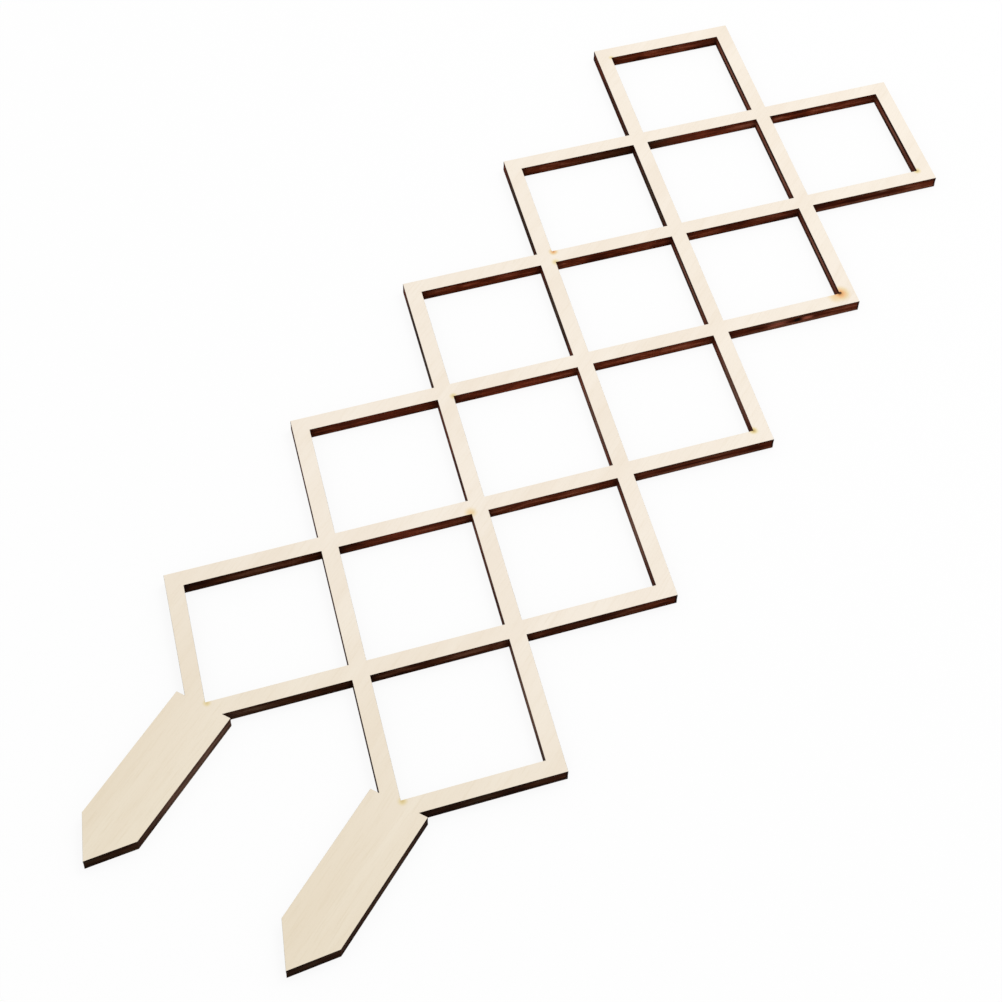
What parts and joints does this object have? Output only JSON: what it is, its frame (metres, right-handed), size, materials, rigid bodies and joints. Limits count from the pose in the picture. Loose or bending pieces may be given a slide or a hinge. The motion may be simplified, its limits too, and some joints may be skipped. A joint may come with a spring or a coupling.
{
  "type": "plant trellis panel",
  "caption": "Flat laser-cut plywood trellis panel: an open lattice of diamonds on pointed stakes that push into a pot of soil to hold up a climbing plant.",
  "frame": {"origin": "middle of the panel's outline on its back face, which lies on the ground", "axes": "+X across the panel to the right, +Y up the panel from the stake tips to its top, +Z out of its front face"},
  "size_m": [0.1002, 0.3, 0.003],
  "materials": {
    "front_face": "bare pale basswood veneer, sanded, with charred laser-cut edges",
    "core": "basswood veneer, charred red-brown where the laser cut it",
    "back_face": "bare pale basswood veneer, sanded, with charred laser-cut edges",
    "glue": "hardened wood glue, scorched near-black at the cut"
  },
  "bodies": {
    "root": {"front_veneer": "front_face", "front_glue_line": "glue", "core_veneer": "core", "back_glue_line": "glue", "back_veneer": "back_face"}
  },
  "joints": []
}
